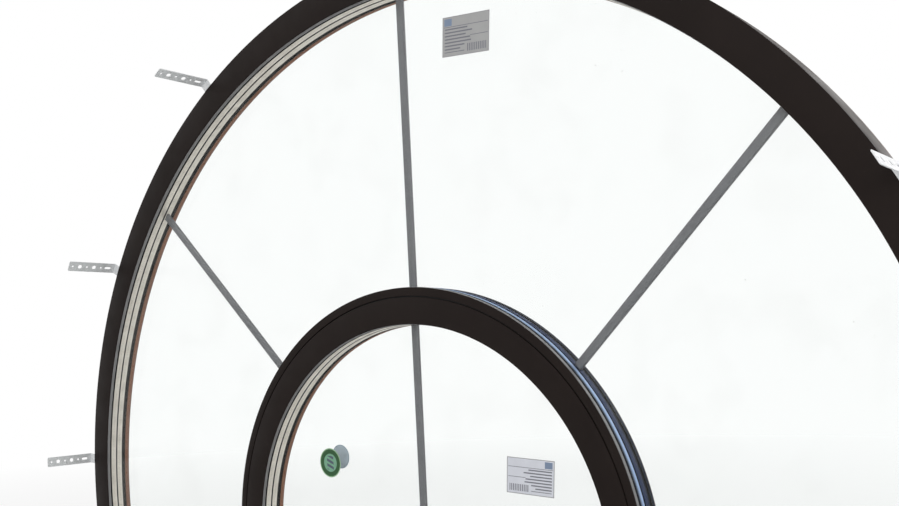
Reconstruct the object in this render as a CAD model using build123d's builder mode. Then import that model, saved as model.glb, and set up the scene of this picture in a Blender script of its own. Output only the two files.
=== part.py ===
from build123d import *
from math import cos, hypot, radians, sin
import os

os.makedirs("parts", exist_ok=True)

# A half-round window: a fan light around a smaller half-round light, in one plastic frame.
# X runs across, Y points from the room to the outside, Z is up.
# The origin is the middle of the sill rail's underside.
# A section is drawn with u, the distance from the sight line into the frame,
# and v, the depth behind the frame's room face.

# Outline of the window
outer_radius = 1161.0
frame_face = 58.0
frame_depth = 70.0
coupling_radius = 550.0
coupling_lip = 16.5
coupling_gap = 2.5
inner_face = 53.0

# Hollow frame section
wall = 3.0
web = 2.0
front_chamber = 10.0
lip_depth = 4.0
rebate_height = 17.0
arris = 1.5
lip_edge = 0.8
clip_groove_height = 3.0
clip_groove_depth = 4.0
clip_groove_set = 4.0
coupling_web = 2.5

# Steel in the main chambers
steel = 1.5
steel_clearance = 0.5
rail_steel_set = 13.0

# Sealed glass units
pane = 4.0
cavity = 14.0
glass_cover = 12.0
spacer_set = 1.0
spacer_height = 6.5

# Gaskets and outside beads
room_gasket = 5.5
gasket_nose = 2.5
gasket_nose_set = 0.3
gasket_heel_set = 2.5
gasket_height = 9.0
outer_gasket = 3.5
outer_gasket_set = 1.0
bead_set = 0.5
fit = 0.1
clip_foot = 3.0
clip_foot_reach = 2.4
bead_wall = 2.0
bead_arris = 2.0

# Strip between the inner arch and its coupling
seal_set = 4.0

# Bars in the outer cavity
bar_width = 18.0
bar_thickness = 8.0
bar_wall = 1.0
bar_corner = 2.0
crown_angle = 90.0
bar_right_angle = 45.4
bar_left_angle = 45.9
bar_play = 0.6
clip_flange = 2.0
clip_plug = 12.0
clip_play = 0.2

# Packers under the glass
packer_length = 100.0
packer_inset = 120.0

# Anchor straps around the arch
strap_angle_steps = (28.5, 56.0, 81.7)
strap_width = 25.0
strap_thickness = 1.5
strap_seat = 0.1
strap_reach = 124.0
strap_back = 62.0
strap_bend = 0.5
strap_bend_run = 3.0
strap_rise = 12.0
strap_corner = 3.0
strap_hole_pitch = 18.5
strap_hole_count = 5
strap_end = 10.0
large_hole = 10.0
small_hole = 5.0
slot_length = 16.0
slot_width = 6.0

# Screws
screw_shank = 4.0
screw_play = 0.3
screw_head = 8.0
screw_head_height = 2.4
screw_length = 16.0
screw_pitch = 18.0
hole_start = 1.0
recess_width = 0.9
recess_length = 4.4
recess_depth = 1.2
coupling_screw_count = 7
coupling_screw_step = 25.0
coupling_screw_head = 6.0
coupling_screw_length = 14.0
connector_screw_length = 30.0
connector_screw_head = 7.0

# Drain openings and their caps on the outside of the rail
drain_count = 3
drain_step = 700.0
drain_length = 26.0
drain_height = 5.0
drain_up = 14.0
cap_length = 42.0
cap_height = 13.0
cap_thickness = 3.0
cap_stub = 2.4
cap_slot_count = 5
cap_slot_pitch = 6.0
cap_slot_width = 2.5
cap_slot_depth = 1.5

# Labels on the glass
label_thickness = 0.2
label_size = (110.0, 69.0)
fan_label_side = 182.0
fan_label_drop = 110.0
fan_label_turn = -3.8
inner_label_inset = 181.5
inner_label_up = 184.0
inner_label_turn = -3.0
sticker_diameter = 64.0
sticker_place = (-242.5, 190.0)
outside_sticker_diameter = 53.0
outside_sticker_place = (-249.0, 199.5)

# Radii and depths that follow
sight_radius = outer_radius - frame_face
inner_radius = coupling_radius - coupling_lip - coupling_gap
inner_sight = inner_radius - inner_face
coupling_back = coupling_radius - coupling_lip
coupling_floor = coupling_back + coupling_web
spring = frame_face
room_y = -frame_depth / 2
glass_v = lip_depth + room_gasket
unit_depth = 3 * pane + 2 * cavity
bead_v = glass_v + unit_depth + outer_gasket
steel_v = wall + front_chamber + web
steel_end = bead_v - web / 2
groove_v = bead_v + clip_groove_set
screw_v = (steel_v + steel_end) / 2
bar_v = glass_v + 2 * pane + 1.5 * cavity
packer_thickness = rebate_height - glass_cover
strap_radius = outer_radius + strap_seat
arch_axis = Axis((0, 0, spring), (0, -1, 0))
section_plane = Plane.XY.offset(spring)
rail_section_plane = Plane(origin=(0, 0, spring), x_dir=(0, 0, -1), z_dir=(1, 0, 0))


def depth_plane(v):
    # upright plane at a depth, with its origin at the centre of the arcs
    return Plane(origin=(0, room_y + v, spring), x_dir=(1, 0, 0), z_dir=(0, -1, 0))


def radial_plane(angle, radius, v):
    # plane that faces away from the arcs' centre, with its X along the depth
    out = Vector(cos(radians(angle)), 0, sin(radians(angle)))
    centre = Vector(0, room_y + v, spring)
    return Plane(origin=centre + out * radius, x_dir=(0, 1, 0), z_dir=out)


def side_plane(angle):
    # plane through the arcs' axis, drawn as depth and radius
    return Plane(
        origin=(0, room_y, spring),
        x_dir=(0, 1, 0),
        z_dir=(sin(radians(angle)), 0, -cos(radians(angle))),
    )


def outline(points, radius, side=1, mode=Mode.ADD):
    # closed outline of (u, v) points beside a sight line
    with BuildLine() as edge:
        Polyline(*[(radius + side * u, room_y + v) for u, v in points], close=True)
    make_face(edge.edges(), mode=mode)


def block(u0, u1, v0, v1):
    return [(u0, v0), (u1, v0), (u1, v1), (u0, v1)]


def frame_section(sketch, radius, face, side=1):
    # lip, rebate with its clip groove, and three chambers
    groove_floor = rebate_height + clip_groove_height
    outline(
        [
            (0, 0),
            (face, 0),
            (face, frame_depth),
            (rebate_height, frame_depth),
            (rebate_height, groove_v + clip_groove_depth),
            (groove_floor, groove_v + clip_groove_depth),
            (groove_floor, groove_v),
            (rebate_height, groove_v),
            (rebate_height, lip_depth),
            (0, lip_depth),
        ],
        radius,
        side,
    )
    front = sketch.vertices().sort_by_distance((radius, room_y))[0]
    fillet(front, radius=arris)
    back = sketch.vertices().sort_by_distance((radius, room_y + lip_depth))[0]
    fillet(back, radius=lip_edge)
    inner = rebate_height + wall
    chambers = [
        block(inner, face - wall, wall, wall + front_chamber),
        block(inner, face - wall, steel_v, steel_end),
        block(groove_floor + wall, face - wall, bead_v + web / 2, frame_depth - wall),
    ]
    for chamber in chambers:
        outline(chamber, radius, side, Mode.SUBTRACT)


def steel_section(radius, face, side=1):
    # channel that lies in the main chamber, open towards the glass
    u0 = rebate_height + wall + steel_clearance
    u1 = face - wall - steel_clearance
    v0 = steel_v + steel_clearance
    v1 = steel_end - steel_clearance
    outline(block(u0, u1, v0, v1), radius, side)
    outline(block(u0, u1 - steel, v0 + steel, v1 - steel), radius, side, Mode.SUBTRACT)


def bead_section(sketch, radius, height, side=1):
    # hollow outside bead with a foot that clips into the rebate
    top = height - fit
    foot_v = groove_v + (clip_groove_depth - clip_foot) / 2
    outline(block(bead_set, top, bead_v, frame_depth), radius, side)
    corner = sketch.vertices().sort_by_distance((radius + side * bead_set, room_y + frame_depth))[0]
    fillet(corner, radius=bead_arris)
    hollow = block(
        bead_set + bead_wall,
        top - bead_wall,
        bead_v + bead_wall,
        frame_depth - bead_wall,
    )
    outline(hollow, radius, side, Mode.SUBTRACT)
    if height == rebate_height:
        outline(block(top, top + clip_foot_reach, foot_v, foot_v + clip_foot), radius, side)


def rail_front():
    # front view of the sill rail, mitred to the arch at both ends
    with BuildSketch(depth_plane(0)) as front:
        with BuildLine():
            Polyline(
                (-outer_radius, -frame_face),
                (outer_radius, -frame_face),
                (sight_radius, 0),
                (-sight_radius, 0),
                close=True,
            )
        make_face()
    return front.sketch


def half_round(radius, drop, mode=Mode.ADD):
    # half disc on the springing line with a straight skirt below it
    with BuildLine() as edge:
        arc = CenterArc((0, 0), radius, 0, 180)
        Polyline(arc @ 1, (-radius, -drop), (radius, -drop), arc @ 0)
    make_face(edge.edges(), mode=mode)


def fan_loop(grow, mode=Mode.ADD):
    # opening of the fan light, grown into the frame on every side
    through = 2 * frame_face
    with BuildSketch(mode=Mode.PRIVATE) as loop:
        half_round(sight_radius + grow, grow)
        half_round(coupling_radius - grow, grow + through, Mode.SUBTRACT)
    add(loop.sketch, mode=mode)


def inner_loop(grow, mode=Mode.ADD):
    # opening of the inner light, grown into the frame on every side
    half_round(inner_sight + grow, grow, mode)


lights = {"fan": fan_loop, "inner": inner_loop}


def layer(loop, v, thickness, outside, inside=None):
    # flat layer of a light at a depth, whole or as a ring
    with BuildSketch(depth_plane(v)) as shape:
        loop(outside)
        if inside is not None:
            loop(inside, Mode.SUBTRACT)
    extrude(shape.sketch, amount=-thickness)


def radial_holes(places, radius, depth, hole=None):
    # holes drilled towards the arcs' centre at (angle, depth behind the face) places
    starts = [radial_plane(angle, radius + hole_start, v) for angle, v in places]
    with Locations(*starts):
        Hole(radius=hole or hole_radius, depth=depth + hole_start)


def screw(head, head_height, length):
    # pan head on the plane, shank below it
    Cylinder(head / 2, head_height, align=(Align.CENTER, Align.CENTER, Align.MIN))
    Cylinder(screw_shank / 2, length, align=(Align.CENTER, Align.CENTER, Align.MAX))
    for turn in (0, 90):
        with Locations(Location((0, 0, head_height), (0, 0, turn))):
            Box(
                recess_length,
                recess_width,
                recess_depth,
                align=(Align.CENTER, Align.CENTER, Align.MAX),
                mode=Mode.SUBTRACT,
            )


def finish(builder, name):
    builder.part.label = name
    export_step(builder.part, f"parts/{name}.step")


strap_offsets = sorted([0.0, *strap_angle_steps, *[-step for step in strap_angle_steps]])
strap_angles = [crown_angle + offset for offset in strap_offsets]
strap_screw_depths = [screw_v - screw_pitch / 2, screw_v + screw_pitch / 2]
strap_screw_places = [
    (angle, depth) for angle in strap_angles for depth in strap_screw_depths
]
hole_radius = screw_shank / 2 + screw_play
drain_places = [drain_step * (i - (drain_count - 1) / 2) for i in range(drain_count)]
connector_x = (inner_sight + rebate_height + coupling_floor) / 2
connector_screw_places = [
    (side * connector_x, room_y + depth) for side in (-1, 1) for depth in strap_screw_depths
]

# Arch of the outer frame, with short legs mitred to the rail
with BuildPart() as outer_arch_frame:
    with BuildSketch(section_plane) as arch_section:
        frame_section(arch_section, sight_radius, frame_face)
    revolve(axis=arch_axis, revolution_arc=180)
    for side in (-1, 1):
        with BuildSketch(section_plane) as leg_section:
            frame_section(leg_section, side * sight_radius, frame_face, side)
        extrude(amount=-frame_face)
    extrude(rail_front(), amount=-frame_depth, mode=Mode.SUBTRACT)
    radial_holes(strap_screw_places, outer_radius, 2 * wall)
finish(outer_arch_frame, "outer_arch_frame")

# Sill rail, with drain openings and holes for the connectors' screws
with BuildPart() as bottom_rail:
    with BuildSketch(rail_section_plane) as rail_section:
        frame_section(rail_section, 0, frame_face)
    extrude(amount=outer_radius, both=True)
    extrude(rail_front(), amount=-frame_depth, mode=Mode.INTERSECT)
    with Locations(*[(x, y, spring - rebate_height) for x, y in connector_screw_places]):
        Hole(radius=hole_radius, depth=2 * wall)
    with BuildSketch(depth_plane(frame_depth)):
        with Locations(*[(x, drain_up - spring) for x in drain_places]):
            SlotOverall(drain_length, drain_height)
    extrude(amount=2 * wall, mode=Mode.SUBTRACT)
finish(bottom_rail, "bottom_rail")

# Steel channels inside the frame
with BuildPart() as outer_arch_steel:
    with BuildSketch(section_plane):
        steel_section(sight_radius, frame_face)
    revolve(axis=arch_axis, revolution_arc=180)
    radial_holes(strap_screw_places, outer_radius, screw_length)
finish(outer_arch_steel, "outer_arch_steel")

with BuildPart() as bottom_rail_steel:
    with BuildSketch(rail_section_plane):
        steel_section(0, frame_face)
    extrude(amount=sight_radius - rail_steel_set, both=True)
finish(bottom_rail_steel, "bottom_rail_steel")

# Inner arch with its steel, the coupling around it and the strip between them
coupling_screw_places = [
    (crown_angle + coupling_screw_step * (i - (coupling_screw_count - 1) / 2), screw_v)
    for i in range(coupling_screw_count)
]
countersink_depth = (coupling_screw_head - screw_shank) / 2

with BuildPart() as inner_arch_frame:
    with BuildSketch(section_plane) as inner_section:
        frame_section(inner_section, inner_sight, inner_face)
    revolve(axis=arch_axis, revolution_arc=180)
    radial_holes(coupling_screw_places, coupling_floor, coupling_screw_length)
finish(inner_arch_frame, "inner_arch_frame")

with BuildPart() as inner_arch_steel:
    with BuildSketch(section_plane):
        steel_section(inner_sight, inner_face)
    revolve(axis=arch_axis, revolution_arc=180)
    radial_holes(coupling_screw_places, coupling_floor, coupling_screw_length)
finish(inner_arch_steel, "inner_arch_steel")

with BuildPart() as coupling_profile:
    with BuildSketch(section_plane) as coupling_section:
        outline(
            [
                (0, 0),
                (coupling_lip, 0),
                (coupling_lip, frame_depth),
                (coupling_lip - coupling_web, frame_depth),
                (coupling_lip - coupling_web, lip_depth),
                (0, lip_depth),
            ],
            coupling_radius,
            -1,
        )
        lip_corner = coupling_section.vertices().sort_by_distance((coupling_radius, room_y))[0]
        fillet(lip_corner, radius=arris)
    revolve(axis=arch_axis, revolution_arc=180)
    radial_holes(coupling_screw_places, coupling_floor, coupling_screw_length)
    for angle, v in coupling_screw_places:
        with Locations(radial_plane(angle, coupling_floor + hole_start, v)):
            Cone(
                hole_radius,
                hole_radius + countersink_depth + hole_start,
                countersink_depth + hole_start,
                align=(Align.CENTER, Align.CENTER, Align.MAX),
                mode=Mode.SUBTRACT,
            )
finish(coupling_profile, "coupling_profile")

with BuildPart() as coupling_seal:
    with BuildSketch(section_plane):
        strip = block(fit, coupling_gap - fit, seal_set, frame_depth - seal_set)
        outline(strip, inner_radius)
    revolve(axis=arch_axis, revolution_arc=180)
    radial_holes(coupling_screw_places, coupling_floor, coupling_screw_length)
finish(coupling_seal, "coupling_seal")

# Blocks that carry the inner arch's legs over the rail's rebate
for side, hand in ((-1, "left"), (1, "right")):
    with BuildPart() as connector:
        with BuildSketch(section_plane):
            with BuildLine():
                Polyline(
                    (side * (inner_sight + rebate_height), room_y + lip_depth),
                    (side * coupling_floor, room_y + lip_depth),
                    (side * coupling_floor, room_y + bead_v),
                    (side * coupling_radius, room_y + bead_v),
                    (side * coupling_radius, room_y + frame_depth),
                    (side * inner_sight, room_y + frame_depth),
                    (side * inner_sight, room_y + bead_v),
                    (side * (inner_sight + rebate_height), room_y + bead_v),
                    close=True,
                )
            make_face()
        extrude(amount=-rebate_height)
        with Locations(*[(x, y, spring) for x, y in connector_screw_places if x * side > 0]):
            Hole(radius=hole_radius, depth=rebate_height)
    finish(connector, f"connector_{hand}")

# Outside beads
with BuildPart() as outer_arch_bead:
    with BuildSketch(section_plane) as bead_profile:
        bead_section(bead_profile, sight_radius, rebate_height)
    revolve(axis=arch_axis, revolution_arc=180)
    for side in (-1, 1):
        with BuildSketch(section_plane) as bead_leg:
            bead_section(bead_leg, side * sight_radius, rebate_height, side)
        extrude(amount=-frame_face)
    extrude(rail_front(), amount=-frame_depth, mode=Mode.SUBTRACT)
finish(outer_arch_bead, "outer_arch_bead")

with BuildPart() as coupling_bead:
    with BuildSketch(section_plane) as bead_profile:
        bead_section(bead_profile, coupling_radius, coupling_lip - coupling_web, -1)
    revolve(axis=arch_axis, revolution_arc=180)
finish(coupling_bead, "coupling_bead")

with BuildPart() as inner_arch_bead:
    with BuildSketch(section_plane) as bead_profile:
        bead_section(bead_profile, inner_sight, rebate_height)
    revolve(axis=arch_axis, revolution_arc=180)
finish(inner_arch_bead, "inner_arch_bead")

with BuildPart() as inner_bottom_bead:
    with BuildSketch(rail_section_plane) as bead_profile:
        bead_section(bead_profile, 0, rebate_height)
    extrude(amount=inner_sight - fit, both=True)
finish(inner_bottom_bead, "inner_bottom_bead")

for side, hand in ((-1, "left"), (1, "right")):
    with BuildPart() as fan_bottom_bead:
        start = coupling_radius + fit
        with BuildSketch(rail_section_plane.offset(side * start)) as bead_profile:
            bead_section(bead_profile, 0, rebate_height)
        extrude(amount=side * (outer_radius - start))
        extrude(rail_front(), amount=-frame_depth, mode=Mode.INTERSECT)
    finish(fan_bottom_bead, f"fan_bottom_bead_{hand}")

# Gaskets and sealed units of both lights
for light, loop in lights.items():
    with BuildPart() as room_strip:
        layer(loop, lip_depth, gasket_nose, gasket_height, gasket_nose_set)
        heel = room_gasket - gasket_nose
        layer(loop, lip_depth + gasket_nose, heel, gasket_height, gasket_heel_set)
    finish(room_strip, f"{light}_room_gasket")

    with BuildPart() as outer_strip:
        layer(loop, bead_v - outer_gasket, outer_gasket, gasket_height, outer_gasket_set)
    finish(outer_strip, f"{light}_outer_gasket")

    for i, place in enumerate(("room", "middle", "outside")):
        with BuildPart() as sheet:
            layer(loop, glass_v + i * (pane + cavity), pane, glass_cover)
        finish(sheet, f"{light}_pane_{place}")

    for i, place in enumerate(("room", "outside")):
        cavity_v = glass_v + pane + i * (pane + cavity)
        spacer_end = spacer_set + spacer_height
        with BuildPart() as spacer:
            layer(loop, cavity_v, cavity, spacer_end, spacer_set)
        finish(spacer, f"{light}_spacer_{place}")
        with BuildPart() as edge_seal:
            layer(loop, cavity_v, cavity, glass_cover, spacer_end)
        finish(edge_seal, f"{light}_edge_seal_{place}")

# Hollow bars between the panes, with a clip in each end
fan_bar_start = coupling_radius - spacer_set + bar_play
fan_bar_end = sight_radius + spacer_set - bar_play
inner_bar_start = bar_play - spacer_set
inner_bar_end = inner_sight + spacer_set - bar_play
bar_runs = {
    "bar_right": (crown_angle - bar_right_angle, fan_bar_start, fan_bar_end),
    "bar_centre": (crown_angle, fan_bar_start, fan_bar_end),
    "bar_left": (crown_angle + bar_left_angle, fan_bar_start, fan_bar_end),
    "bar_inner": (crown_angle, inner_bar_start, inner_bar_end),
}
for name, (angle, start, end) in bar_runs.items():
    with BuildPart() as bar:
        with BuildSketch(radial_plane(angle, start + clip_flange, bar_v)):
            RectangleRounded(bar_thickness, bar_width, bar_corner)
            RectangleRounded(
                bar_thickness - 2 * bar_wall,
                bar_width - 2 * bar_wall,
                bar_corner - bar_wall,
                mode=Mode.SUBTRACT,
            )
        extrude(amount=end - start - 2 * clip_flange)
    finish(bar, name)

with BuildPart() as bar_end_clips:
    for angle, start, end in bar_runs.values():
        for place, into in ((start, 1), (end - clip_flange, -1)):
            with BuildSketch(radial_plane(angle, place, bar_v)):
                RectangleRounded(bar_thickness, bar_width, bar_corner)
            extrude(amount=clip_flange)
            plug = place + clip_flange if into > 0 else place - clip_plug
            with BuildSketch(radial_plane(angle, plug, bar_v)):
                Rectangle(
                    bar_thickness - 2 * bar_wall - 2 * clip_play,
                    bar_width - 2 * bar_wall - 2 * clip_play - bar_corner,
                )
            extrude(amount=clip_plug)
finish(bar_end_clips, "bar_end_clips")

# Packers between the rebate's floor and the lower edges of the glass
fan_packers = [coupling_radius + packer_inset, sight_radius - packer_inset]
packer_places = fan_packers + [inner_sight - packer_inset]
with BuildPart() as glazing_packers:
    middle_y = room_y + glass_v + unit_depth / 2
    floor_z = spring - rebate_height
    packer_centres = [(side * x, middle_y, floor_z) for side in (-1, 1) for x in packer_places]
    with Locations(*packer_centres):
        Box(
            packer_length,
            unit_depth,
            packer_thickness,
            align=(Align.CENTER, Align.CENTER, Align.MIN),
        )
finish(glazing_packers, "glazing_packers")

# Galvanised straps on the arch's back, reaching into the room
free_radius = strap_radius + strap_rise + strap_thickness
bend_shift = strap_thickness * strap_rise / (hypot(strap_bend_run, strap_rise) + strap_bend_run)
hole_depths = [strap_end - strap_reach + i * strap_hole_pitch for i in range(strap_hole_count)]
slot_depth = hole_depths[-1] + strap_hole_pitch
for number, angle in enumerate(strap_angles, 1):
    with BuildPart() as strap:
        with BuildSketch(side_plane(angle)):
            with BuildLine():
                Polyline(
                    (strap_back, strap_radius),
                    (-strap_bend, strap_radius),
                    (-strap_bend - strap_bend_run, strap_radius + strap_rise),
                    (-strap_reach, strap_radius + strap_rise),
                    (-strap_reach, free_radius),
                    (bend_shift - strap_bend - strap_bend_run, free_radius),
                    (bend_shift - strap_bend, strap_radius + strap_thickness),
                    (strap_back, strap_radius + strap_thickness),
                    close=True,
                )
            make_face()
        extrude(amount=strap_width / 2, both=True)
        free_end = strap.faces().filter_by(Axis.Y).sort_by(Axis.Y)[0]
        fillet(free_end.edges().sort_by(SortBy.LENGTH)[:2], radius=strap_corner)
        large_places = [(angle, v) for v in hole_depths[1::2]]
        small_places = [(angle, v) for v in hole_depths[0::2]]
        screw_places = [(angle, v) for v in strap_screw_depths]
        radial_holes(large_places, free_radius, 2 * strap_thickness, large_hole / 2)
        radial_holes(small_places, free_radius, 2 * strap_thickness, small_hole / 2)
        radial_holes(screw_places, free_radius, free_radius - outer_radius)
        with BuildSketch(radial_plane(angle, free_radius, slot_depth)):
            SlotOverall(slot_length, slot_width)
        extrude(amount=-2 * strap_thickness, mode=Mode.SUBTRACT)
    finish(strap, f"anchor_strap_{number}")

# Screws
with BuildPart() as strap_screws:
    for angle, v in strap_screw_places:
        with Locations(radial_plane(angle, strap_radius + strap_thickness, v)):
            screw(screw_head, screw_head_height, screw_length)
finish(strap_screws, "strap_screws")

with BuildPart() as coupling_screws:
    for angle, v in coupling_screw_places:
        with Locations(radial_plane(angle, coupling_floor, v)):
            Cylinder(
                screw_shank / 2,
                coupling_screw_length,
                align=(Align.CENTER, Align.CENTER, Align.MAX),
            )
            Cone(
                screw_shank / 2,
                coupling_screw_head / 2,
                countersink_depth,
                align=(Align.CENTER, Align.CENTER, Align.MAX),
            )
finish(coupling_screws, "coupling_screws")

with BuildPart() as connector_screws:
    for x, y in connector_screw_places:
        with Locations((x, y, spring)):
            screw(connector_screw_head, screw_head_height, connector_screw_length)
finish(connector_screws, "connector_screws")

# Slotted caps over the drain openings
with BuildPart() as drain_caps:
    cap_planes = [
        Plane(origin=(x, frame_depth / 2, drain_up), x_dir=(-1, 0, 0), z_dir=(0, 1, 0))
        for x in drain_places
    ]
    with BuildSketch(*cap_planes):
        RectangleRounded(cap_length, cap_height, cap_thickness)
    extrude(amount=cap_thickness)
    with BuildSketch(*cap_planes):
        SlotOverall(drain_length - 2 * screw_play, drain_height - 2 * screw_play)
    extrude(amount=-cap_stub)
    with BuildSketch(*[plane.offset(cap_thickness) for plane in cap_planes]):
        with GridLocations(cap_slot_pitch, 0, cap_slot_count, 1):
            Rectangle(cap_slot_width, cap_height - 2 * cap_thickness)
    extrude(amount=-cap_slot_depth, mode=Mode.SUBTRACT)
finish(drain_caps, "drain_caps")

# Labels that lie on the room side of the glass
label_plane = depth_plane(glass_v - label_thickness)
fan_label_place = (fan_label_side, sight_radius - fan_label_drop)
inner_label_place = (inner_sight - inner_label_inset, inner_label_up)
with BuildPart() as fan_label:
    with BuildSketch(label_plane):
        with Locations(Location((*fan_label_place, 0), (0, 0, fan_label_turn))):
            Rectangle(*label_size)
    extrude(amount=-label_thickness)
finish(fan_label, "fan_label")

with BuildPart() as inner_label:
    with BuildSketch(label_plane):
        with Locations(Location((*inner_label_place, 0), (0, 0, inner_label_turn))):
            Rectangle(*label_size)
    extrude(amount=-label_thickness)
finish(inner_label, "inner_label")

with BuildPart() as round_sticker:
    with BuildSketch(label_plane):
        with Locations(sticker_place):
            Circle(sticker_diameter / 2)
    extrude(amount=-label_thickness)
finish(round_sticker, "round_sticker")

# Sticker on the outside of the inner light, seen from its back
with BuildPart() as outside_sticker:
    with BuildSketch(depth_plane(glass_v + unit_depth)):
        with Locations(outside_sticker_place):
            Circle(outside_sticker_diameter / 2)
    extrude(amount=-label_thickness)
finish(outside_sticker, "outside_sticker")
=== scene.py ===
import math
import bmesh
import bpy
from mathutils import Matrix, Vector


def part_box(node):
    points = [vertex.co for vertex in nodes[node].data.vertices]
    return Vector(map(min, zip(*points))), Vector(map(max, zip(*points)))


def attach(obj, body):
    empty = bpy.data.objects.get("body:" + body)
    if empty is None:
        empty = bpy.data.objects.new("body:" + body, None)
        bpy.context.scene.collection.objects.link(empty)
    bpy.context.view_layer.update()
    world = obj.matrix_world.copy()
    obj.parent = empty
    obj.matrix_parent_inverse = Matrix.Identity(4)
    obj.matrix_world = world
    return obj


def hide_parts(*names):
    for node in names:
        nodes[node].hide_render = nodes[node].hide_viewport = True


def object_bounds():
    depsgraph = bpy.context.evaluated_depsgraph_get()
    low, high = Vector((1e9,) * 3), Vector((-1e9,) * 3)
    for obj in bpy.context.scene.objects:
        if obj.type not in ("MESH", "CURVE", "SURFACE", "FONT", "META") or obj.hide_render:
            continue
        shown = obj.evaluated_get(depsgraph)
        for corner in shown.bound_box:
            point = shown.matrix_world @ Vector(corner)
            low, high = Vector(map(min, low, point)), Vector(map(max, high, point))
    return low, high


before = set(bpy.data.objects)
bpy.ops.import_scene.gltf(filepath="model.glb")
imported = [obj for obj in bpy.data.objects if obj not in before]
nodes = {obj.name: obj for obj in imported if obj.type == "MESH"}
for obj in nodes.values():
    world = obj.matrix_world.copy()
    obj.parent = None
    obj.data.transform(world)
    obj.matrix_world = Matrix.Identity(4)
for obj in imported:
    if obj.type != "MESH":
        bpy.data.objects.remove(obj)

mm = 0.001
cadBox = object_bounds()

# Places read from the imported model, in metres; depths are counted from the room face
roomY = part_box("outer_arch_frame")[0].y
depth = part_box("outer_arch_frame")[1].y - roomY
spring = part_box("bottom_rail")[1].z
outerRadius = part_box("outer_arch_frame")[1].x
sightRadius = outerRadius - spring      # the arch's face is as wide as the rail is high
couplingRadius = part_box("coupling_profile")[1].x
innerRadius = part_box("inner_arch_frame")[1].x
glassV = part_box("fan_pane_room")[0].y - roomY
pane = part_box("fan_pane_room")[1].y - roomY - glassV
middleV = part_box("fan_pane_middle")[0].y - roomY
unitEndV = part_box("fan_pane_outside")[1].y - roomY
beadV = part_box("outer_arch_bead")[0].y - roomY
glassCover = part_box("fan_pane_room")[1].x - sightRadius
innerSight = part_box("inner_pane_room")[1].x - glassCover
cavity = middleV - glassV - pane
cavityStarts = dict(Room=glassV + pane, Outside=middleV + pane)

# The pinhole camera fitted to the arcs and bars of the photograph. Its lens axis meets the picture
# right of the middle and below it
camera = dict(
    place=(1.4167, -1.5240, 0.4183),        # metres from the arcs' centre on the room face
    yaw=36.057, pitch=-8.499, roll=-1.811,  # degrees
    focal=1019.3, right=83.24, drop=250.01, width=899.0,    # pixels
    sensor=36.0, near=0.05, far=100.0,
)


def makeCamera():
    data = bpy.data.cameras.new("roomCamera")
    data.sensor_width = camera["sensor"]
    data.lens = camera["focal"] / camera["width"] * camera["sensor"]
    data.shift_x = -camera["right"] / camera["width"]
    data.shift_y = camera["drop"] / camera["width"]
    data.clip_start, data.clip_end = camera["near"], camera["far"]
    view = bpy.data.objects.new("roomCamera", data)
    bpy.context.scene.collection.objects.link(view)
    turn = (
        Matrix.Rotation(math.radians(camera["yaw"]), 4, "Z")
        @ Matrix.Rotation(math.radians(90 + camera["pitch"]), 4, "X")
        @ Matrix.Rotation(math.radians(camera["roll"]), 4, "Z")
    )
    place = Vector((0, roomY, spring)) + Vector(camera["place"])
    view.matrix_world = Matrix.Translation(place) @ turn
    bpy.context.scene.camera = view


makeCamera()
print("camera set")


# A number on a node's socket, so that masks read as plain expressions
class Wire:
    def __init__(self, graph, socket):
        self.graph, self.socket = graph, socket

    def math(self, kind, *others):
        plugs = dict(enumerate((self, *others)))
        return self.graph.node("Math", dict(operation=kind), plugs)

    def __add__(self, other):
        return self.math("ADD", other)

    def __sub__(self, other):
        return self.math("SUBTRACT", other)

    def __rsub__(self, other):
        return self * -1.0 + other

    def __mul__(self, other):
        return self.math("MULTIPLY", other)

    def __truediv__(self, other):
        return self.math("DIVIDE", other)

    def __gt__(self, other):
        return self.math("GREATER_THAN", other)

    def __lt__(self, other):
        return self.math("LESS_THAN", other)

    def __abs__(self):
        return self.math("ABSOLUTE")

    __radd__ = __add__


class Graph:
    def __init__(self, tree):
        self.tree = tree

    def feed(self, plug, value):
        if isinstance(value, Wire):
            self.tree.links.new(value.socket, plug)
        else:
            plug.default_value = value

    def node(self, kind, settings=None, plugs=None, out=0):
        # settings come first, because some of them change the sockets
        made = self.tree.nodes.new("ShaderNode" + kind)
        for key, value in (settings or {}).items():
            setattr(made, key, value)
        for key, value in (plugs or {}).items():
            self.feed(made.inputs[key], value)
        return made if out is None else Wire(self, made.outputs[out])

    def rays(self, kinds):
        # 1 for light rays of any of these kinds
        path = self.node("LightPath", out=None)
        flags = [Wire(self, path.outputs[f"Is {kind} Ray"]) for kind in kinds]
        return sum(flags).math("MINIMUM", 1.0)


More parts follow.
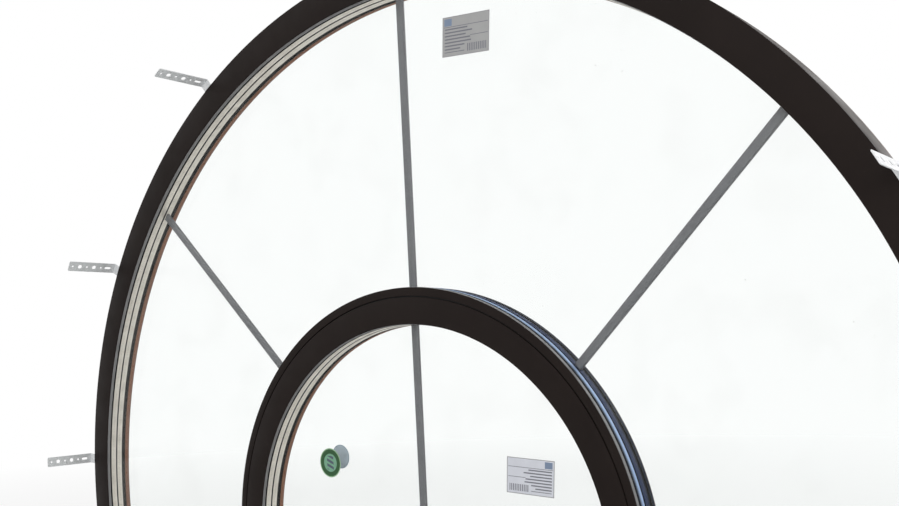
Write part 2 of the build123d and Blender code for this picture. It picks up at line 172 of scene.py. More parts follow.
class Paint(Graph):
    def __init__(self, name):
        self.material = bpy.data.materials.new(name)
        self.material.use_nodes = True
        super().__init__(self.material.node_tree)
        self.shader = self.tree.nodes["Principled BSDF"]
        self.surface = self.tree.nodes["Material Output"].inputs["Surface"]
        self.coords = self.node("TexCoord", out="Object")
        self.x, self.y, self.z = self.split(self.coords)

    def split(self, vector):
        made = self.node("SeparateXYZ", plugs={0: vector}, out=None)
        return [Wire(self, plug) for plug in made.outputs]

    def plain(self):
        return Wire(self, self.shader.outputs[0])

    def set(self, **plugs):
        for key, value in plugs.items():
            self.feed(self.shader.inputs[key.replace("_", " ")], value)
        return self.material

    def noise(self, scale, detail=3.0, rough=0.55):
        plugs = {"Vector": self.coords, "Scale": scale, "Detail": detail, "Roughness": rough}
        return self.node("TexNoise", plugs=plugs)

    def blend(self, mask, low, high):
        return self.node("Mix", dict(data_type="RGBA"), {0: mask, 6: low, 7: high}, out=2)

    def spread(self, value, low, high, fromLow=0.32, fromHigh=0.68):
        # low below fromLow, high above fromHigh, and evenly on between them
        return self.node("MapRange", plugs={0: value, 1: fromLow, 2: fromHigh, 3: low, 4: high})

    def patchy(self, scale, colour, share=1.2):
        # the colour with soft lighter patches
        patches = self.spread(self.noise(scale, detail=4.0), 0.0, 1.0)
        return self.blend(patches, colour, lighter(colour, share))

    def spots(self, look):
        # 0 but for scattered spots, where the mask rises to the look's share
        value = self.noise(look["scale"], look["detail"], look["rough"])
        return self.spread(value, 0.0, look["share"], look["start"], look["full"])

    def uneven(self, look, detail=3.0):
        # roughness that wanders between the look's two values
        return self.spread(self.noise(look["roughScale"], detail), *look["roughness"])

    def bump(self, height, strength, distance=0.3 * mm):
        plugs = {"Height": height, "Strength": strength, "Distance": distance}
        return self.node("Bump", plugs=plugs)


def linear(value):
    # one part of a screen colour, 0..255, as a linear share
    share = value / 255
    return share / 12.92 if value < 11 else ((share + 0.055) / 1.055) ** 2.4


def tone(red, green, blue):
    return (linear(red), linear(green), linear(blue), 1.0)


def lighter(colour, share):
    return tuple(min(1.0, part * share) for part in colour[:3]) + (1.0,)


filmLook = dict(
    # room is painted shade and outside is painted light on one dark brown film
    room=tone(30, 24, 22), outside=tone(106, 78, 62), dust=tone(96, 88, 80), lip=tone(20, 18, 18),
    # the lip colour and lipDepth: partly a black co-extruded lip, partly painted shade at the glass
    roomDepth=8 * mm, outsideDepth=66 * mm, lipDepth=3.5 * mm,
    patchScale=6.0, roomPatch=1.25, outsidePatch=1.18,
    specks=dict(scale=240.0, detail=4.0, rough=0.7, share=0.5, start=0.70, full=0.84),
    roughScale=18.0, roughness=(0.46, 0.60), shine=0.08, grainScale=1100.0, grain=0.12,
)


def filmMaterial(name, body, lipped=False):
    # film over hard plastic: dark in the room, brown outside, the plain body colour between them. It is one
    # dark brown film: the very dark room colour is painted shade, the lighter brown outside is painted
    # light
    look = filmLook
    paint = Paint(name)
    room = paint.patchy(look["patchScale"], look["room"], look["roomPatch"])
    outside = paint.patchy(look["patchScale"], look["outside"], look["outsidePatch"])
    plain = paint.patchy(look["patchScale"], body)
    colour = paint.blend(paint.y > roomY + look["roomDepth"], room, plain)
    colour = paint.blend(paint.y > roomY + look["outsideDepth"], colour, outside)
    if lipped:
        # soft black lip along the bead's edge at the glass: partly a black co-extruded lip, partly painted
        # shade where the bead meets the glass
        colour = paint.blend(paint.y < roomY + beadV + look["lipDepth"], colour, look["lip"])
    return paint.set(
        Base_Color=paint.blend(paint.spots(look["specks"]), colour, look["dust"]),
        Roughness=paint.uneven(look, detail=5.0),
        Specular_IOR_Level=look["shine"],
        Normal=paint.bump(paint.noise(look["grainScale"], detail=2.0), look["grain"]),
    )


rubberLook = dict(patchScale=26.0, roughScale=120.0, roughRange=0.15, shine=0.3, grainScale=520.0)
plasticLook = dict(patchScale=40.0, roughScale=150.0, roughRange=0.12, shine=0.5, grainScale=700.0)


def mouldedMaterial(name, look, colour, rough, grain=0.08):
    # rubber or plastic of one colour
    paint = Paint(name)
    return paint.set(
        Base_Color=paint.patchy(look["patchScale"], colour),
        Roughness=paint.spread(paint.noise(look["roughScale"]), rough, rough + look["roughRange"]),
        Specular_IOR_Level=look["shine"],
        Normal=paint.bump(paint.noise(look["grainScale"]), grain),
    )


spacerLook = dict(
    warm=tone(238, 231, 221), dull=tone(219, 211, 201), slit=tone(92, 87, 80), seal=tone(24, 24, 26),
    # colours of the painted bluish sky reflection and the painted shade on the strip round the inner arch;
    # the next line says where they lie
    paintedLight=tone(166, 188, 224), shade=tone(30, 38, 56), secondPaintedShade=tone(34, 48, 84),
    litStart=2 * mm, litEnd=8 * mm, paintedReach=20 * mm, railDrop=0.5 * mm,
    pitch=4.6 * mm, slitLength=0.3, slitWidth=0.35 * mm, sealWidth=0.35 * mm,
    groove=4.2 * mm, grooveWidth=0.5 * mm, grooveRelief=0.15,
    stainScale=45.0, roughScale=160.0, roughness=(0.34, 0.46), paintedStripRoughness=0.3,
    metal=0.4, paintedStripMetal=0.1, shine=0.3,
)


def spacerMaterial(name, paintedCouplingSide):
    # satin metal strip with fine slits along its middle and dark sealant against the glass
    look = spacerLook
    paint = Paint(name)
    up = paint.z - spring
    radius = (paint.x * paint.x + up * up).math("SQRT")
    straight = up < -look["railDrop"]
    run = straight * paint.x + (1 - straight) * (up.math("ARCTAN2", paint.x) * radius)
    fromMiddle = [abs(paint.y - (roomY + start + cavity / 2)) for start in cavityStarts.values()]
    nearest = fromMiddle[0].math("MINIMUM", fromMiddle[1])
    slits = ((run / look["pitch"]).math("FRACT") < look["slitLength"]) * (nearest < look["slitWidth"])
    stains = paint.spread(paint.noise(look["stainScale"], detail=4.0), 0.0, 1.0)
    metal = paint.blend(stains, look["dull"], look["warm"])
    share, rough = look["metal"], paint.uneven(look)
    if paintedCouplingSide:
        # the strip that lies round the inner arch is darker and bluish: painted shade, with a painted
        # bright bluish sky reflection along the room cavity's spacer
        v = paint.y - roomY
        start = cavityStarts["Room"]
        lit = paint.spread(v, 0.0, 1.0, start + look["litStart"], start + look["litEnd"])
        first = paint.blend(lit, look["shade"], look["paintedLight"])
        dim = paint.spread(v, 0.0, 1.0, middleV + 2 * pane, unitEndV)
        secondPaintedShade = paint.blend(dim, look["secondPaintedShade"], look["shade"])
        paintedLight = paint.blend(v > middleV + pane / 2, first, secondPaintedShade)
        ring = (radius < couplingRadius + look["paintedReach"]) * (1 - straight)
        metal = paint.blend(ring, metal, paintedLight)
        share = share - ring * (look["metal"] - look["paintedStripMetal"])
        rough = rough + ring * look["paintedStripRoughness"]
    metal = paint.blend(slits, metal, look["slit"])
    seal = nearest > cavity / 2 - look["sealWidth"]
    grooves = paint.spread(abs(nearest - look["groove"]), 0.0, 1.0, 0.0, look["grooveWidth"])
    return paint.set(
        Base_Color=paint.blend(seal, metal, look["seal"]),
        Metallic=(1 - seal) * share,
        Roughness=rough,
        Specular_IOR_Level=look["shine"],
        Normal=paint.bump(grooves, look["grooveRelief"]),
    )


barLook = dict(
    base=tone(110, 109, 113), dust=tone(150, 150, 154), patchScale=12.0, patch=1.14,
    specks=dict(scale=300.0, detail=3.0, rough=0.7, share=0.6, start=0.70, full=0.82),
    roughScale=80.0, roughness=(0.36, 0.48), grainScale=1300.0, grain=0.05, grainDepth=0.2 * mm,
)


def barMaterial(name):
    # satin grey paint with fine specks
    look = barLook
    paint = Paint(name)
    base = paint.patchy(look["patchScale"], look["base"], look["patch"])
    return paint.set(
        Base_Color=paint.blend(paint.spots(look["specks"]), base, look["dust"]),
        Roughness=paint.uneven(look),
        Normal=paint.bump(paint.noise(look["grainScale"]), look["grain"], look["grainDepth"]),
    )


zincLook = dict(
    strapZinc=dict(
        dark=tone(214, 216, 218), light=tone(234, 235, 236), crystals=170.0, rough=0.42, metal=(0.05, 0.15),
    ),
    channelZinc=dict(
        dark=tone(140, 143, 146), light=tone(184, 187, 190), crystals=90.0, rough=0.4, metal=(0.55, 0.8),
    ),
    screwZinc=dict(
        dark=tone(170, 166, 145), light=tone(206, 202, 180), crystals=400.0, rough=0.28, metal=(0.55, 0.8),
    ),
)
zincStains = dict(scale=60.0, colourShare=0.4, roughShare=0.5, roughRange=0.2, relief=0.06)


def zincMaterial(name):
    # galvanised steel: flat crystals in slightly different greys, with dull stains
    look, stains = zincLook[name], zincStains
    paint = Paint(name)
    plugs = {"Vector": paint.coords, "Scale": look["crystals"]}
    crystals = paint.node("TexVoronoi", plugs=plugs, out="Color")
    shade = paint.node("SeparateColor", plugs={0: crystals})
    stain = paint.noise(stains["scale"], detail=5.0)

    def mixed(share):
        return shade * (1 - share) + stain * share

    rough = look["rough"]
    return paint.set(
        Base_Color=paint.blend(mixed(stains["colourShare"]), look["dark"], look["light"]),
        Metallic=paint.spread(stain, *look["metal"]),
        Roughness=paint.spread(mixed(stains["roughShare"]), rough, rough + stains["roughRange"]),
        Normal=paint.bump(shade, stains["relief"]),
    )


glassLook = dict(
    tint=(0.988, 0.995, 0.992, 1.0), shadow=(0.975, 0.985, 0.98, 1.0), dust=tone(190, 188, 182),
    bending=1.12,       # low, so that the six faces mirror little
    veil=dict(scale=7.0, detail=6.0, rough=0.6, share=0.015, start=0.5, full=0.8),
    specks=dict(scale=150.0, detail=2.0, rough=0.55, share=0.25, start=0.76, full=0.80),
)


def glassMaterial(name):
    # clear glass with a thin veil of dust and a few dried specks; lamps and soft light pass it
    look = glassLook
    paint = Paint(name)
    paint.set(Base_Color=look["tint"], Roughness=0.0, Transmission_Weight=1.0, IOR=look["bending"])
    dirt = paint.spots(look["veil"]) + paint.spots(look["specks"])
    haze = paint.node("BsdfDiffuse", plugs={0: look["dust"]})
    dusty = paint.node("MixShader", plugs={0: dirt, 1: paint.plain(), 2: haze})
    clear = paint.node("BsdfTransparent", plugs={0: look["shadow"]})
    passing = paint.rays(("Shadow", "Diffuse"))
    paint.feed(paint.surface, paint.node("MixShader", plugs={0: passing, 1: dusty, 2: clear}))
    return paint.material


roomFilm = filmMaterial("roomFilm", tone(52, 42, 37))
# the beads' light brown body colour is painted light on the same dark brown film
beadFilm = filmMaterial("beadFilm", tone(130, 88, 68), lipped=True)
# the coupling bead is the same film as the other beads; its dark navy body colour is painted shade with a
# bluish painted reflection
couplingBeadPaintedShade = filmMaterial("couplingBeadPaintedShade", tone(14, 20, 40), lipped=True)
greyRubber = mouldedMaterial("greyRubber", rubberLook, tone(128, 127, 128), rough=0.45)
blackRubber = mouldedMaterial("blackRubber", rubberLook, tone(22, 22, 23), rough=0.55)
sealant = mouldedMaterial("sealant", rubberLook, tone(16, 16, 17), rough=0.45, grain=0.3)
# its strip round the inner arch carries painted shade and a painted bluish sky reflection
fanSpacer = spacerMaterial("fanSpacer", paintedCouplingSide=True)
innerSpacer = spacerMaterial("innerSpacer", paintedCouplingSide=False)
barPaint = barMaterial("barPaint")
strapZinc, channelZinc, screwZinc = [zincMaterial(name) for name in zincLook]
clearGlass = glassMaterial("clearGlass")
clipPlastic = mouldedMaterial("clipPlastic", plasticLook, tone(62, 62, 66), rough=0.45)
packerPlastic = mouldedMaterial("packerPlastic", plasticLook, tone(46, 82, 128), rough=0.4)
capPlastic = mouldedMaterial("capPlastic", plasticLook, tone(100, 78, 67), rough=0.4)
print("materials made")

meshing = dict(
    outer=168, inner=120, rounding=3,       # steps round the arcs and in a rounded corner
    merge=0.001 * mm,       # points closer than this become one
    sharp=20.0,             # degrees from which an edge is drawn sharp
)
contact = 0.05 * mm      # how far rubber and sealant press into the glass
scratch = bpy.data.meshes.new("scratch")


# Sections are corners (u, v, rounding): u goes from the sight line into the frame, v from the
# room face towards the outside
def block(u0, u1, v0, v1, rounding=0.0):
    return [(u0, v0, rounding), (u1, v0, rounding), (u1, v1, rounding), (u0, v1, rounding)]


def roundCorners(bm, verts, size, steps):
    bmesh.ops.bevel(
        bm, geom=verts, offset=size, offset_type="OFFSET", segments=steps, profile=0.5,
        affect="VERTICES", material=-1,
    )


def drawSection(bm, sections, radius, side):
    # closed outlines at the right springing point, with their corners rounded
    for corners in sections:
        sheet = bmesh.new()
        places = [(radius + side * u, roomY + v, spring) for u, v, rounding in corners]
        verts = [sheet.verts.new(place) for place in places]
        sheet.faces.new(verts)
        for size in sorted({rounding for u, v, rounding in corners if rounding}):
            chosen = [vert for vert, corner in zip(verts, corners) if corner[2] == size]
            roundCorners(sheet, chosen, size, meshing["rounding"])
        bmesh.ops.delete(sheet, geom=list(sheet.faces), context="FACES_ONLY")
        sheet.to_mesh(scratch)
        sheet.free()
        bm.from_mesh(scratch)


def slope(sign, place):
    # moves a loop between a springing point and its mitre on the rail
    shear = Matrix.Identity(4)
    shear[2][0], shear[2][3] = sign, -sign * place
    return shear


def across(total):
    # carries a mitred loop along the rail to its other end
    flip = Matrix.Identity(4)
    flip[0][0], flip[0][3] = -1.0, total
    return flip


def along(radius, route, side=1, start=Matrix.Identity(4), closed=False):
    # where a section stands, which way its u runs, and the moves and turns that draw it on
    return dict(radius=radius, route=route, side=side, start=start, closed=closed)


def onward(bm, loop, step):
    # draws a loop of edges on by one move, or by one turn (angle, steps) about the arcs' axis,
    # and returns the new loop
    if isinstance(step, Matrix):
        made = bmesh.ops.extrude_edge_only(bm, edges=loop)["geom"]
        verts = [part for part in made if isinstance(part, bmesh.types.BMVert)]
        bmesh.ops.transform(bm, matrix=step, verts=verts)
    else:
        turn, steps = step
        made = bmesh.ops.spin(
            bm, geom=loop, cent=(0, 0, spring), axis=(0, -1, 0), angle=turn, steps=steps,
            use_merge=False, use_duplicate=False,
        )["geom_last"]
    return [part for part in made if isinstance(part, bmesh.types.BMEdge)]


def settle(bm, name, node, material, ends, sharp=meshing["sharp"]):
    # caps the ends, merges, turns the faces outwards, and hands the piece to the frame
    for end in ends:
        bmesh.ops.triangle_fill(bm, edges=end, use_beauty=True, use_dissolve=False)
    bmesh.ops.remove_doubles(bm, verts=bm.verts, dist=meshing["merge"])
    bmesh.ops.recalc_face_normals(bm, faces=bm.faces)
    mesh = bpy.data.meshes.new(name)
    bm.to_mesh(mesh)
    bm.free()
    mesh.polygons.foreach_set("use_smooth", [True] * len(mesh.polygons))
    mesh.set_sharp_from_angle(angle=math.radians(sharp))
    mesh.materials.append(material)
    piece = bpy.data.objects.new(name, mesh)
    bpy.context.scene.collection.objects.link(piece)
    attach(piece, "root")
    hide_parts(node)


def sweep(name, node, material, sections, path):
    bm = bmesh.new()
    drawSection(bm, sections, path["radius"], path["side"])
    bmesh.ops.transform(bm, matrix=path["start"], verts=bm.verts)
    first = last = list(bm.edges)
    for step in path["route"]:
        last = onward(bm, last, step)
    settle(bm, name, node, material, [] if path["closed"] else [first, last])


frameShape = dict(
    wall=3 * mm, web=2 * mm, front=10 * mm, lip=4 * mm, lipEdge=1.7 * mm, undercut=2 * mm,
    rebate=17 * mm, grooveSet=4 * mm, groove=4 * mm, grooveDepth=3 * mm,
    arris=1.5 * mm, edge=0.5 * mm,
)


def frameSections(face):
    # outline with the glazing lip, the rebate and its clip groove, then three chambers
    shape = frameShape
    wall, web, rebate, edge = shape["wall"], shape["web"], shape["rebate"], shape["edge"]
    floor, grooveV = rebate + shape["grooveDepth"], beadV + shape["grooveSet"]
    grooveEnd = grooveV + shape["groove"]
    outline = [
        (0, 0, shape["arris"]), (face, 0, edge), (face, depth, edge), (rebate, depth, edge),
        (rebate, grooveEnd, 0), (floor, grooveEnd, 0), (floor, grooveV, 0), (rebate, grooveV, 0),
        (rebate, shape["lip"], 0), (shape["undercut"], shape["lip"], 0), (0, shape["lipEdge"], 0),
    ]
    inner, outer = rebate + wall, face - wall
    return [
        outline,
        block(inner, outer, wall, wall + shape["front"]),
        block(inner, outer, wall + shape["front"] + web, beadV - web / 2),
        block(floor + wall, outer, beadV + web / 2, depth - wall),
    ]


couplingShape = dict(
    lip=16.5 * mm, web=2.5 * mm, sealSet=4 * mm, sealRound=0.4 * mm, play=0.1 * mm,
)


def couplingSection():
    # angle strip: a front lip over the joint and a web that runs back between the lights
    lip, edges = couplingShape["lip"], frameShape
    back = lip - couplingShape["web"]
    return [
        (0, 0, edges["arris"]), (lip, 0, edges["edge"]), (lip, depth, 0), (back, depth, 0),
        (back, edges["lip"], 0), (edges["undercut"], edges["lip"], 0), (0, edges["lipEdge"], 0),
    ]


def sealSection():
    # black strip in the joint between the inner arch and the web
    shape = couplingShape
    joint = couplingRadius - shape["lip"] - innerRadius
    u0, u1 = shape["play"], joint - shape["play"]
    return block(u0, u1, shape["sealSet"], depth - shape["sealSet"], shape["sealRound"])


archTurn, innerTurn = (math.pi, meshing["outer"]), (math.pi, meshing["inner"])
archStart = slope(-1.0, sightRadius)
archRoute = [slope(1.0, sightRadius), archTurn, slope(1.0, -sightRadius)]
arch = along(sightRadius, archRoute, start=archStart)
rail = along(sightRadius, [across(0.0)], start=archStart)
innerArch = along(innerSight, [innerTurn])
coupling = along(couplingRadius, [innerTurn], side=-1)
joint = along(innerRadius, [innerTurn])
wide, narrow = frameSections(spring), frameSections(innerRadius - innerSight)
sweep("outerArchFrame", "outer_arch_frame", roomFilm, wide, arch)
sweep("bottomRail", "bottom_rail", roomFilm, wide, rail)
sweep("innerArchFrame", "inner_arch_frame", roomFilm, narrow, innerArch)
sweep("couplingProfile", "coupling_profile", roomFilm, [couplingSection()], coupling)
sweep("couplingSeal", "coupling_seal", blackRubber, [sealSection()], joint)
print("frame members made")

beadShape = dict(
    wall=2 * mm, play=0.1 * mm, chamfer=6 * mm, slant=2.6 * mm,
    footSet=4.5 * mm, foot=3 * mm, footReach=2.4 * mm,
    slantRound=1.5 * mm, noseRound=1.2 * mm, backRound=0.3 * mm, footRound=0.5 * mm,
)


def beadSections(height, foot=True):
    # hollow bead that slants away from the glass on the outside; its foot clips into the rebate
    shape = beadShape
    wall, slant = shape["wall"], shape["slant"]
    top, footV = height - shape["play"], beadV + shape["footSet"]
    tip, footEnd = top + shape["footReach"], footV + shape["foot"]
    clip = [
        (top, footEnd, 0), (tip, footEnd, shape["footRound"]), (tip, footV, shape["footRound"]),
        (top, footV, 0),
    ] if foot else []
    outline = [
        (0, beadV, 0), (0, depth - shape["chamfer"], shape["slantRound"]),
        (slant, depth, shape["noseRound"]), (top, depth, shape["backRound"]), *clip, (top, beadV, 0),
    ]
    return [outline, block(slant + wall / 2, top - wall, beadV + wall, depth - wall)]


archBead = beadSections(frameShape["rebate"])
couplingBead = beadSections(couplingShape["lip"] - couplingShape["web"], foot=False)
sweep("outerArchBead", "outer_arch_bead", beadFilm, archBead, arch)
sweep("couplingBead", "coupling_bead", couplingBeadPaintedShade, couplingBead, coupling)
sweep("innerArchBead", "inner_arch_bead", beadFilm, archBead, innerArch)


def endPlane(x, mitre):
    # moves a section from x = 0 to a bead's end, which is square (0) or mitred (1 or -1)
    lean = Matrix.Identity(4)
    lean[0][2], lean[0][3] = mitre, x - mitre * spring
    return lean


def railBead(name, node, ends, mitres):
    # straight bead on the rail between two x places; its u runs down from the springing line
    bm = bmesh.new()
    drawSection(bm, archBead, 0.0, 1)
    turn = Matrix(((0, 0, 0, 0), (0, 1, 0, 0), (-1, 0, 0, spring), (0, 0, 0, 1)))
    bmesh.ops.transform(bm, matrix=turn, verts=bm.verts)
    left, right = [endPlane(x, mitre) for x, mitre in zip(ends, mitres)]
    first = list(bm.edges)
    bmesh.ops.transform(bm, matrix=left, verts=bm.verts)
    last = onward(bm, first, right @ left.inverted())
    settle(bm, name, node, beadFilm, [first, last])


play = beadShape["play"]
railBead("innerBottomBead", "inner_bottom_bead", (-innerSight + play, innerSight - play), (0, 0))
railBead("fanBottomBeadRight", "fan_bottom_bead_right", (couplingRadius + play, sightRadius), (0, -1))
railBead("fanBottomBeadLeft", "fan_bottom_bead_left", (-sightRadius, -couplingRadius - play), (1, 0))
print("beads made")

unitShape = dict(
    gasket=9 * mm, lipSet=0.15 * mm, lipGap=0.2 * mm, heelSet=1.5 * mm,
    nose=8.3 * mm, noseSet=-1 * mm, noseSlant=0.8 * mm, noseRound=0.6 * mm, chinRound=0.3 * mm,
    outerSet=1 * mm, outerSlant=1.2 * mm, outerStep=0.6 * mm, outerRound=0.5 * mm,
    spacerSet=-0.5 * mm, spacer=8 * mm, chamfer=2 * mm, spacerRound=0.3 * mm,
)
# Round the fan light: over the outer arch, along the rail, back over the inner arch, and along
# the rail again
fanRoute = [
    archTurn, slope(1.0, -sightRadius),
    across(-sightRadius - couplingRadius), slope(1.0, -couplingRadius),
    (-math.pi, meshing["inner"]), slope(1.0, couplingRadius),
    across(sightRadius + couplingRadius), slope(1.0, sightRadius),
]
innerRoute = [innerTurn, slope(1.0, -innerSight), across(0.0), slope(1.0, innerSight)]
lights = dict(
    fan=dict(path=along(sightRadius, fanRoute, closed=True), spacer=fanSpacer),
    inner=dict(path=along(innerSight, innerRoute, closed=True), spacer=innerSpacer),
)


def roomGasketSection():
    # grey rubber between the frame's lip and the glass, with a nose that stands into the opening
    shape, lip = unitShape, frameShape["lip"]
    slant, heelV = shape["noseSlant"], glassV + contact
    return [
        (shape["lipSet"], frameShape["lipEdge"] + shape["lipGap"], 0), (frameShape["undercut"], lip, 0),
        (shape["gasket"], lip, 0), (shape["gasket"], heelV, 0), (shape["heelSet"], heelV, 0),
        (shape["noseSet"] + slant, shape["nose"] + slant, shape["chinRound"]),
        (shape["noseSet"], shape["nose"], shape["noseRound"]),
    ]


def outerGasketSection():
    # black rubber between the glass and the bead
    shape = unitShape
    low, top, start = shape["outerSet"], shape["gasket"], unitEndV - contact
    return [
        (low, unitEndV + shape["outerStep"], shape["outerRound"]), (low + shape["outerSlant"], start, 0),
        (top, start, 0), (top, beadV, 0), (low, beadV, 0),
    ]


def cavitySections(start):
    # the spacer of one cavity, and the sealant that fills the cavity behind it
    shape = unitShape
    low, top = shape["spacerSet"], shape["spacerSet"] + shape["spacer"]
    v0, v1 = start - contact, start + cavity + contact
    side, rounding = top - shape["chamfer"], shape["spacerRound"]
    nearV, farV = v0 + shape["chamfer"], v1 - shape["chamfer"]
    shoulder = [(side, v0, 0), (top, nearV, 0), (top, farV, 0), (side, v1, 0)]
    tube = [(low, v0, rounding), *shoulder, (low, v1, rounding)]
    backing = [*shoulder[::-1], (glassCover, v0, 0), (glassCover, v1, 0)]
    return tube, backing


def makeUnit(light, path, spacer):
    # rubbers on both sides of the unit, and a spacer with its sealant in each cavity
    sweep(light + "RoomGasket", light + "_room_gasket", greyRubber,
          [roomGasketSection()], path)
    sweep(light + "OuterGasket", light + "_outer_gasket", blackRubber,
          [outerGasketSection()], path)
    for place, start in cavityStarts.items():
        tube, backing = cavitySections(start)
        sweep(light + "Spacer" + place, light + "_spacer_" + place.lower(),
              spacer, [tube], path)
        sweep(light + "EdgeSeal" + place, light + "_edge_seal_" + place.lower(),
              sealant, [backing], path)


for light, parts in lights.items():
    makeUnit(light, parts["path"], parts["spacer"])
print("gaskets, spacers and seals made")

barShape = dict(width=18 * mm, thick=8 * mm, wall=1 * mm, corner=3.4 * mm, roundness=6, sharp=35.0)


def makeBar(name, node, angle, ends):
    # hollow tube along a radius of the arcs, its broad side in the plane of the glass
    shape = barShape
    low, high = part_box("bar_centre")
    bm = bmesh.new()
    for shrink in (0.0, shape["wall"]):
        made = bmesh.ops.create_grid(bm, x_segments=1, y_segments=1, size=0.5)["verts"]
        sides = (shape["width"] - 2 * shrink, shape["thick"] - 2 * shrink, 1)
        bmesh.ops.scale(bm, vec=sides, verts=made)
        roundCorners(bm, made, shape["corner"] - shrink, shape["roundness"])
        bmesh.ops.delete(bm, geom=list(bm.faces), context="FACES_ONLY")
    bmesh.ops.translate(bm, vec=(0, 0, ends[0]), verts=bm.verts)
    first = list(bm.edges)
    last = onward(bm, first, Matrix.Translation((0, 0, ends[1] - ends[0])))
    turn = Matrix.Rotation(math.radians(90 - angle), 4, "Y")
    place = Matrix.Translation((0, (low.y + high.y) / 2, spring))
    bmesh.ops.transform(bm, matrix=place @ turn, verts=bm.verts)
    settle(bm, name, node, barPaint, [first, last], sharp=shape["sharp"])


def reach(node):
    # where an upright bar begins and ends, from the arcs' centre
    low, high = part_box(node)
    return low.z - spring, high.z - spring


def leanOf(node):
    # angle of a slanted bar, from the middle of its box
    low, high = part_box(node)
    middle = (low + high) / 2
    return math.degrees(math.atan2(middle.z - spring, middle.x))


makeBar("barCentre", "bar_centre", 90.0, reach("bar_centre"))
makeBar("barRight", "bar_right", leanOf("bar_right"), reach("bar_centre"))
makeBar("barLeft", "bar_left", leanOf("bar_left"), reach("bar_centre"))
makeBar("barInner", "bar_inner", 90.0, reach("bar_inner"))
print("bars made")

labelLook = dict(
    size=(110 * mm, 69 * mm), ink=tone(112, 113, 122), field=tone(120, 136, 160), edge=tone(150, 150, 152),
    # the fan label is the same white paper as the inner one; its grey paper colour is painted shade
    fan_label=dict(turn=-3.8, paper=tone(160, 160, 160), way=1.0),
    inner_label=dict(turn=-3.0, paper=tone(208, 210, 218), way=-1.0),      # its layout runs the other way
    # fields are (left, right, bottom, top), as shares of the label's width and height
    sheet=(0.015, 0.985, 0.02, 0.98), square=(0.04, 0.20, 0.77, 0.95), text=(0.05, 0.95, 0.10, 0.72),
    topRule=(0.03, 0.97, 0.735, 0.75), sideRule=(0.60, 0.97, 0.46, 0.475),
    blank=(0.48, 1.0, 0.0, 0.32), hatching=(0.52, 0.94, 0.08, 0.27), stripes=26.0, stripeInk=0.5,
    rows=12.0, rowInk=0.42, lengthScale=7.3, lengthRange=0.9, shortest=0.15,
    patchScale=40.0, patch=1.08, roughScale=80.0, roughness=(0.5, 0.65),
    grainScale=500.0, grain=0.08, grainDepth=0.2 * mm,
)


def labelMaterial(name, node):
    # plain printed fields on paper: a square, rules of several lengths and a hatched block
    look, own = labelLook, labelLook[node]
    paint = Paint(name)
    low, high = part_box(node)
    turn = (0, math.radians(-own["turn"]), 0)
    plugs = {"Vector": paint.coords, "Location": (low + high) / 2, "Rotation": turn}
    x, _, z = paint.split(paint.node("Mapping", dict(vector_type="TEXTURE"), plugs))
    right, up = x * own["way"] / look["size"][0] + 0.5, z / look["size"][1] + 0.5

    def field(part):
        x0, x1, z0, z1 = look[part]
        return (right > x0) * (right < x1) * (up > z0) * (up < z1)

    rows = up * look["rows"]
    plugs = {"W": rows.math("FLOOR"), "Scale": look["lengthScale"]}
    lengths = paint.node("TexNoise", dict(noise_dimensions="1D"), plugs)
    written = right < lengths * look["lengthRange"] + look["shortest"]
    ink = (rows.math("FRACT") < look["rowInk"]) * field("text") * written
    ink = ink * (1 - field("blank")) + field("topRule") + field("sideRule")
    hatch = field("hatching") * ((right * look["stripes"]).math("FRACT") < look["stripeInk"])
    marks = (ink + hatch).math("MINIMUM", 1.0)
    paper = paint.patchy(look["patchScale"], own["paper"], look["patch"])
    colour = paint.blend(marks, paper, look["ink"])
    colour = paint.blend(field("sheet"), look["edge"], colour)
    return paint.set(
        Base_Color=paint.blend(field("square"), colour, look["field"]),
        Roughness=paint.uneven(look),
        Normal=paint.bump(paint.noise(look["grainScale"]), look["grain"], look["grainDepth"]),
    )


stickerLook = dict(
    rim=tone(150, 186, 148), ring=tone(12, 74, 24), disc=tone(108, 156, 128), mark=tone(72, 82, 98),
    rimStart=0.93, ringStart=0.62, discScale=90.0, markSize=(10 * mm, 15 * mm),
    stroke=11 * mm, strokeInk=0.55, strokeSlant=0.4, roughScale=80.0, roughness=(0.4, 0.55),
)
stickerBackLook = dict(
    # paper and rim: the pale bluish colours are painted light that shines through the paper from outside
    paper=tone(194, 202, 214), rim=tone(166, 180, 198), rimStart=0.93, patchScale=70.0, patch=1.25,
    roughScale=80.0, roughness=(0.5, 0.65),
)


def fromCentre(paint, node):
    # offsets from the middle of a round sticker, and the distance as a share of its radius
    low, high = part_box(node)
    middle, radius = (low + high) / 2, (high.x - low.x) / 2
    dx, dz = paint.x - middle.x, paint.z - middle.z
    return dx, dz, (dx * dx + dz * dz).math("SQRT") / radius


def stickerMaterial(name):
    # a pale rim, a green ring and a lighter disc with plain slanted strokes
    look = stickerLook
    paint = Paint(name)
    dx, dz, out = fromCentre(paint, "round_sticker")
    disc = paint.patchy(look["discScale"], look["disc"])
    colour = paint.blend(out < look["rimStart"], look["rim"], look["ring"])
    colour = paint.blend(out < look["ringStart"], colour, disc)
    mark = (abs(dx) < look["markSize"][0]) * (abs(dz) < look["markSize"][1])
    strokes = (dx * look["strokeSlant"] + dz) / look["stroke"]
    mark = mark * (strokes.math("FRACT") < look["strokeInk"])
    return paint.set(Base_Color=paint.blend(mark, colour, look["mark"]), Roughness=paint.uneven(look))


def stickerBackMaterial(name):
    # glued side of a paper sticker, seen through the panes; its pale bluish colours are painted light that
    # shines through the paper from outside
    look = stickerBackLook
    paint = Paint(name)
    _, _, out = fromCentre(paint, "outside_sticker")
    paper = paint.patchy(look["patchScale"], look["paper"], look["patch"])
    colour = paint.blend(out < look["rimStart"], look["rim"], paper)
    return paint.set(Base_Color=colour, Roughness=paint.uneven(look))


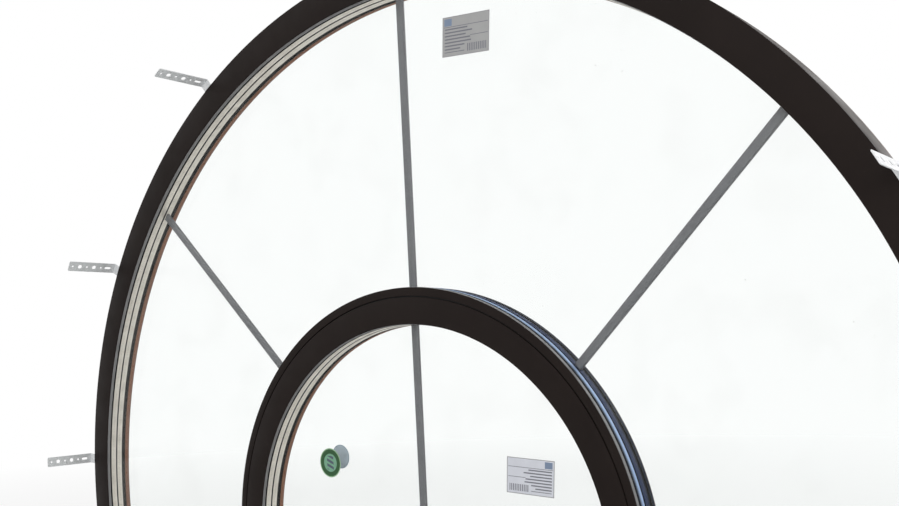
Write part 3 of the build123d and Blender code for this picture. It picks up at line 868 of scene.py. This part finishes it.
# CAD nodes that keep their shape
finishes = {
    clearGlass: [f"{light}_pane_{place}" for light in lights for place in ("room", "middle", "outside")],
    channelZinc: ["outer_arch_steel", "bottom_rail_steel", "inner_arch_steel"],
    roomFilm: ["connector_left", "connector_right"],
    clipPlastic: ["bar_end_clips"],
    packerPlastic: ["glazing_packers"],
    capPlastic: ["drain_caps"],
    strapZinc: [name for name in nodes if name.startswith("anchor_strap")],
    screwZinc: ["strap_screws", "coupling_screws", "connector_screws"],
    labelMaterial("fanLabelPaper", "fan_label"): ["fan_label"],
    labelMaterial("innerLabelPaper", "inner_label"): ["inner_label"],
    stickerMaterial("stickerPaper"): ["round_sticker"],
    stickerBackMaterial("stickerBack"): ["outside_sticker"],
}
for material, names in finishes.items():
    for name in names:
        nodes[name].data.materials.clear()
        nodes[name].data.materials.append(material)
print("kept nodes finished")

stageLook = dict(
    floor=(0.84, 0.84, 0.835, 1.0), size=16.0, rough=0.8, shine=0.1,
    lift=(0.72, 1.0),       # share of white near the window and far from it
    fade=(1.6, 3.6),        # metres from the window between which it grows
    white=(1, 1, 1, 1),
    soft=0.6,               # how strongly the white room lights the window
    seen=("Camera", "Transmission", "Glossy"),      # rays by which floor and room are seen
)


def makeFloor():
    # pale floor, lifted towards white where it is seen, that keeps the shadow
    look = stageLook
    bm = bmesh.new()
    bmesh.ops.create_grid(bm, x_segments=1, y_segments=1, size=look["size"])
    bmesh.ops.translate(bm, vec=(0, 0, cadBox[0].z), verts=bm.verts)
    mesh = bpy.data.meshes.new("paleFloor")
    bm.to_mesh(mesh)
    bm.free()
    floor = bpy.data.objects.new("paleFloor", mesh)
    bpy.context.scene.collection.objects.link(floor)
    paint = Paint("paleFloor")
    paint.set(Base_Color=look["floor"], Roughness=look["rough"], Specular_IOR_Level=look["shine"])
    white = paint.node("Emission", plugs={0: look["white"], 1: 1.0})
    away = (paint.x * paint.x + paint.y * paint.y).math("SQRT")
    share = paint.rays(look["seen"]) * paint.spread(away, *look["lift"], *look["fade"])
    paint.feed(paint.surface, paint.node("MixShader", plugs={0: share, 1: paint.plain(), 2: white}))
    mesh.materials.append(paint.material)


def makeWorld():
    # white room that is seen brighter than it shines
    look = stageLook
    world = bpy.data.worlds.new("softRoom")
    bpy.context.scene.world = world
    world.use_nodes = True
    graph = Graph(world.node_tree)
    levels = (look["soft"], 1.0)
    soft, bright = [graph.node("Background", plugs={0: look["white"], 1: level}) for level in levels]
    room = graph.node("MixShader", plugs={0: graph.rays(look["seen"]), 1: soft, 2: bright})
    graph.feed(graph.tree.nodes["World Output"].inputs["Surface"], room)


lampAim = (0, 0, 0.6)
lamps = dict(
    key=dict(place=(-2.6, -3.4, 4.8), size=2.2, power=48.0),
    fill=dict(place=(2.4, -3.4, 1.0), size=2.4, power=42.0),
    back=dict(place=(1.6, 3.4, 2.8), size=2.6, power=50.0),
)


def makeLamps():
    for name, look in lamps.items():
        data = bpy.data.lights.new(name, "AREA")
        data.energy, data.size = look["power"], look["size"]
        lamp = bpy.data.objects.new(name, data)
        lamp.location = look["place"]
        lamp.rotation_mode = "QUATERNION"
        lamp.rotation_quaternion = (Vector(lampAim) - lamp.location).to_track_quat("-Z", "Y")
        bpy.context.scene.collection.objects.link(lamp)


makeFloor()
makeWorld()
makeLamps()
bpy.context.scene.view_settings.view_transform = "Standard"
bpy.data.meshes.remove(scratch)
print("stage and lamps set")
